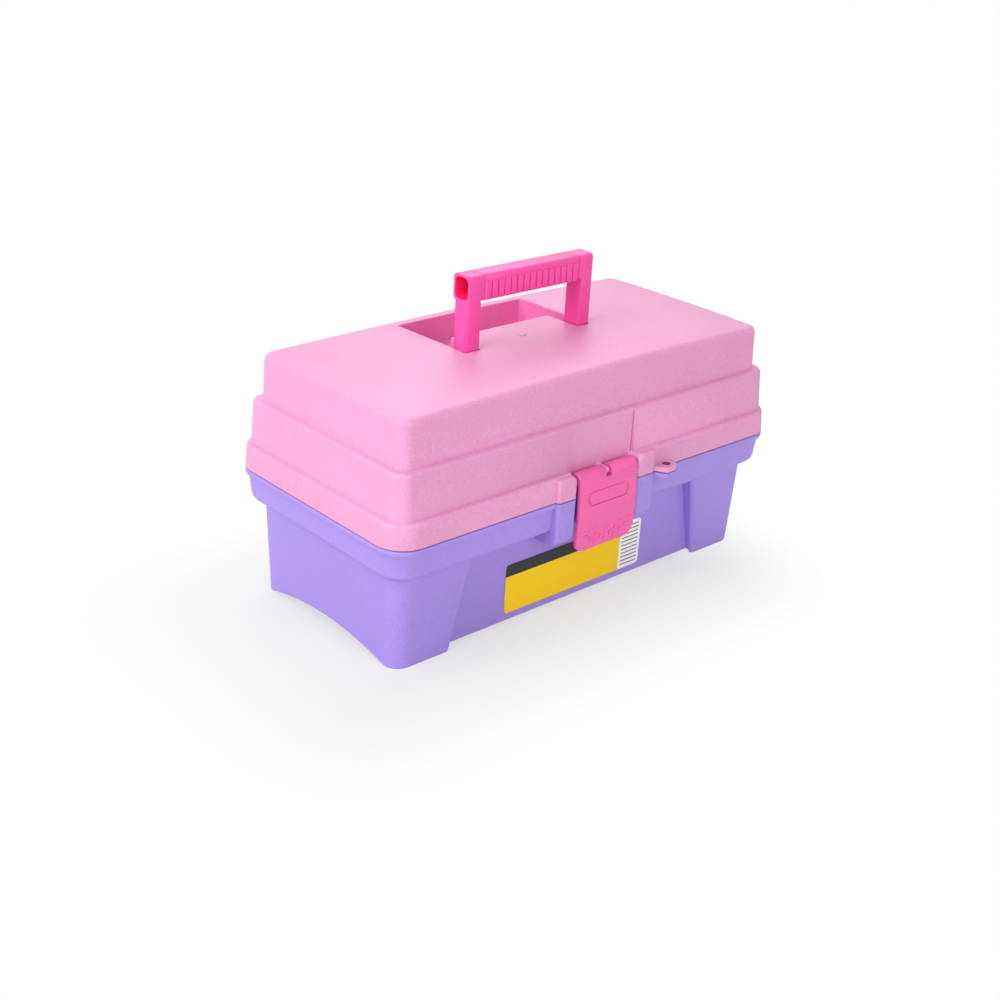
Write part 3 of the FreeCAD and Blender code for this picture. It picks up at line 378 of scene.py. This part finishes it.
DRESS = {
    "base_tub": (tub_plastic, 0.4),
    "lid_shell": (lid_plastic, 0.4),
    "carry_handle": (handle_plastic, 0.2),
    "front_latch": (latch_plastic, 0.2),
    "front_label": (label_film, 0.0),
    "lower_tray": (tray_plastic, 0.3),
    "upper_tray": (tray_plastic, 0.3),
    "tray_arm_left": (handle_plastic, 0.3),
    "tray_arm_right": (handle_plastic, 0.3),
    "mirror_frame": (tub_plastic, 0.4),
    "mirror_glass": (mirror_finish, 0.0),
    # Near-black pin: painted shade in the latch notch
    "latch_pin": (shade_black_steel, 0.2),
    "hinge_pin_left": (steel_finish, 0.3),
    "hinge_pin_right": (steel_finish, 0.3),
    "arm_base_pins": (steel_finish, 0.3),
    "lower_tray_arm_pins": (steel_finish, 0.3),
    "upper_tray_arm_pins": (steel_finish, 0.3),
    "lower_tray_lid_pins": (steel_finish, 0.3),
    "upper_tray_lid_pins": (steel_finish, 0.3),
    "mirror_pins": (steel_finish, 0.2),
}
pieces = {}
for node, (finish, edge) in DRESS.items():
    pieces[node] = moulded_copy(node, node + "_made", edge)
    finish_piece(pieces[node], BODY_OF[node], SLOT_OF[node], finish, node)


# Details of the handle and the lid, and painted shade in their hollows, with sizes and places in millimetres

GRIP_HEIGHT = 18
RIDGES = 15
RIDGE_PITCH = 5.7
VALLEY_FROM = -(RIDGES - 2) / 2 * RIDGE_PITCH
VALLEY_WIDE = 0.7
VALLEY_FOOT, VALLEY_TOP = 207.4, 219.9
VALLEY_SIDES = ((-6.7, -5.7), (8.5, 9.5))

POCKET = ((-64, -12, 150), (64, 70, 175))
POCKET_BELOW = 0.8
CORNER_LINE = ((30.9, -79.9, 100), (31.6, -79.1, 137))
EYE_SPARE = 0.2
GATE_AT = (-1.2, -0.9)
GATE_RADIUS = 1.9
GATE_DEPTH = 0.9
GATE_SEGMENTS = (28, 10)
GATE_CRESCENT = 3
CAST_FROM = 1000

# A face counts as an end, a ceiling or a wall by how far its normal leans to X or Z
END_LEAN = 0.5
CEILING_LEAN = -0.3
WALL_LEAN = 0.5


def paint_grip_shade(handle):
    """Paint shade into the inside of the hollow grip, as a deeper red than the handle."""
    low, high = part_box("carry_handle")
    half = GRIP_HEIGHT * MM / 2
    axis = Vector((0, (low[1] + high[1]) / 2, high[2] - half))

    def in_hollow(face):
        out = face.center - axis
        out.x = 0
        return abs(out.z) < half and abs(face.normal.x) < END_LEAN and face.normal.dot(out) < 0

    refinish(handle, grip_hollow_shade, in_hollow)


def paint_pocket_shade(lid):
    """Paint shade on the walls and floor of the handle pocket, as a deeper pink."""
    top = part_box("lid_shell")[1][2] - POCKET_BELOW * MM
    low, high = (Vector(corner) * MM for corner in POCKET)
    middle = (low + high) / 2

    def in_pocket(face):
        at = face.center
        inside = low.x < at.x < high.x and low.y < at.y < high.y and low.z < at.z < top
        return inside and face.normal.z > CEILING_LEAN and face.normal.dot(middle - at) > 0

    refinish(lid, pocket_shade_plastic, in_pocket)


def shade_eye(lid):
    """Paint shade on the wall of the hole in the padlock eye, as a dark plum."""
    eye = next(mount for mount in frame["record"]["mounts"] if mount["name"] == "padlock_eye")
    middle = Vector(eye["pos_m"])
    reach = (eye["dims"]["r_mm"] + EYE_SPARE) * MM
    length = eye["dims"]["length_mm"] * MM

    def in_eye(face):
        away = face.center - middle
        return abs(away.z) < length and away.xy.length < reach and abs(face.normal.z) < WALL_LEAN

    refinish(lid, eye_shade_plastic, in_eye)


def cut_valleys(handle):
    """Deepen the valleys between the ridges on both sides of the grip."""
    left, right = VALLEY_FROM - VALLEY_WIDE / 2, VALLEY_FROM + VALLEY_WIDE / 2
    for near, far in VALLEY_SIDES:
        valley = (left, near, VALLEY_FOOT), (right, far, VALLEY_TOP)
        cut_block(handle, valley, RIDGES - 1, RIDGE_PITCH)


def press_gate_mark(lid):
    """Press a small crescent into the tongue of the lid, where the plastic was let in."""
    along, across = (place * MM for place in GATE_AT)
    over = Vector((along, across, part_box("lid_shell")[1][2] + CAST_FROM * MM))
    top = lid.ray_cast(over, Vector((0, 0, -1)))[1].z
    around, through = GATE_SEGMENTS
    bpy.ops.object.select_all(action="DESELECT")
    bpy.ops.mesh.primitive_torus_add(major_radius=GATE_RADIUS * MM, minor_radius=GATE_DEPTH * MM,
                                     major_segments=around, minor_segments=through, location=(0, 0, 0))
    tool = bpy.context.active_object
    bpy.ops.object.mode_set(mode="EDIT")
    bpy.ops.mesh.select_all(action="SELECT")
    bpy.ops.mesh.bisect(plane_co=(0, GATE_RADIUS * MM / GATE_CRESCENT, 0), plane_no=(0, 1, 0),
                        use_fill=True, clear_outer=True)
    bpy.ops.mesh.select_all(action="SELECT")
    bpy.ops.transform.translate(value=(along, across, top))
    bpy.ops.object.mode_set(mode="OBJECT")
    cut_away(lid, tool)


paint_grip_shade(pieces["carry_handle"])
paint_pocket_shade(pieces["lid_shell"])
shade_eye(pieces["lid_shell"])
cut_block(pieces["lid_shell"], CORNER_LINE)
cut_valleys(pieces["carry_handle"])
press_gate_mark(pieces["lid_shell"])


# Camera where the photograph was taken from, in metres and degrees

CAMERA_AT = Vector((-0.66866, -0.69666, 0.49280))
CAMERA_TURN = (-43.27, 24.73, 3.24)
LENS_MM = 52.99
SENSOR_MM = 36


def photo_camera():
    lens = bpy.data.cameras.new("camera")
    lens.sensor_width = SENSOR_MM
    lens.lens = LENS_MM
    camera = bpy.data.objects.new("camera", lens)
    bpy.context.scene.collection.objects.link(camera)
    yaw, pitch, roll = (math.radians(angle) for angle in CAMERA_TURN)
    ahead = Vector((-math.sin(yaw) * math.cos(pitch), math.cos(yaw) * math.cos(pitch), -math.sin(pitch)))
    level_right = Vector((math.cos(yaw), math.sin(yaw), 0))
    level_up = level_right.cross(ahead)
    right = level_right * math.cos(roll) + level_up * math.sin(roll)
    up = right.cross(ahead)
    turn = Matrix((right, up, -ahead)).transposed()
    camera.matrix_world = Matrix.Translation(CAMERA_AT) @ turn.to_4x4()
    return camera


bpy.context.scene.camera = photo_camera()


# Soft lamps: place and size in metres, power in watts

LAMPS = {
    "left_soft": ((-1.8, -0.1, 1.15), 1.8, 28),
    "top_soft": ((-0.6, 0.40, 1.5), 2.0, 11),
    "front_soft": ((-0.2, -1.8, 0.9), 1.4, 14.4),
    "back_sheen": ((0.70, 0.75, 1.20), 1.0, 6),
}
LAMP_AIM = Vector((0, 0, 0.1))


def soft_lamp(name, place, size, power):
    light = bpy.data.lights.new(name, "AREA")
    light.shape = "DISK"
    light.size = size
    light.energy = power
    lamp = bpy.data.objects.new(name, light)
    lamp.location = place
    lamp.rotation_euler = (LAMP_AIM - Vector(place)).to_track_quat("-Z", "Y").to_euler()
    bpy.context.scene.collection.objects.link(lamp)


for name, (place, size, power) in LAMPS.items():
    soft_lamp(name, place, size, power)


# White surround and pale floor, with painted shadow around the feet of the box

SKY_LIGHT = 0.25
SKY_WHITE = 1.0
FLOOR_SIZE = 12
FLOOR_TONE = (0.90, 0.89, 0.86, 1)
GLOW_NEAR, GLOW_FAR = 0.68, 1.0
# Near the feet the white is dimmed and mixed less: painted shadow
WHITE_NEAR, WHITE_FAR = 0.86, 1.0
SHADE_REACH = 0.10
SHADE_AT = (-0.05, -0.015, 0)
SHADE_HALF = (0.150, 0.073, 0)
SHADE_STEPS = (("SUBTRACT", SHADE_AT), ("ABSOLUTE", None), ("SUBTRACT", SHADE_HALF),
               ("MAXIMUM", (0, 0, 0)), ("LENGTH", None))


def seen_directly(tree):
    """1 for what the camera, a reflection or glass sees, 0 for light that falls on the object."""
    path = tree.nodes.new("ShaderNodeLightPath")
    seen = reckon(tree, "MAXIMUM", path.outputs["Is Camera Ray"], path.outputs["Is Glossy Ray"])
    return reckon(tree, "MAXIMUM", seen, path.outputs["Is Transmission Ray"])


def white_surround():
    world = bpy.data.worlds.new("studio")
    world.use_nodes = True
    tree = world.node_tree
    sky = tree.nodes["Background"]
    sky.inputs["Color"].default_value = (1, 1, 1, 1)
    tree.links.new(spread(tree, seen_directly(tree), SKY_LIGHT, SKY_WHITE, 0, 1), sky.inputs["Strength"])
    return world


def white_paper():
    """Paper that takes the shadow of the box, carries painted shadow near its feet, and shows white further
    from it.
    """
    paper = bpy.data.materials.new("white_paper")
    paper.use_nodes = True
    tree = paper.node_tree
    tree.nodes.clear()
    matt = tree.nodes.new("ShaderNodeBsdfDiffuse")
    matt.inputs["Color"].default_value = FLOOR_TONE
    white = tree.nodes.new("ShaderNodeEmission")
    away = tree.nodes.new("ShaderNodeTexCoord").outputs["Object"]
    for operation, amount in SHADE_STEPS:
        step = tree.nodes.new("ShaderNodeVectorMath")
        step.operation = operation
        if amount:
            step.inputs[1].default_value = amount
        tree.links.new(away, step.inputs[0])
        away = step.outputs["Value" if operation == "LENGTH" else "Vector"]
    tree.links.new(spread(tree, away, WHITE_NEAR, WHITE_FAR, 0, SHADE_REACH), white.inputs["Strength"])
    glow = spread(tree, away, GLOW_NEAR, GLOW_FAR, 0, SHADE_REACH)
    mixed = tree.nodes.new("ShaderNodeMixShader")
    out = tree.nodes.new("ShaderNodeOutputMaterial")
    tree.links.new(both(tree, seen_directly(tree), glow), mixed.inputs["Fac"])
    tree.links.new(matt.outputs["BSDF"], mixed.inputs[1])
    tree.links.new(white.outputs["Emission"], mixed.inputs[2])
    tree.links.new(mixed.outputs["Shader"], out.inputs["Surface"])
    return paper


bpy.context.scene.world = white_surround()
bpy.ops.object.select_all(action="DESELECT")
bpy.ops.mesh.primitive_plane_add(size=FLOOR_SIZE, location=(0, 0, 0))
floor = bpy.context.active_object
floor.name = "floor"
floor.data.materials.append(white_paper())

bpy.context.scene.view_settings.view_transform = "Standard"
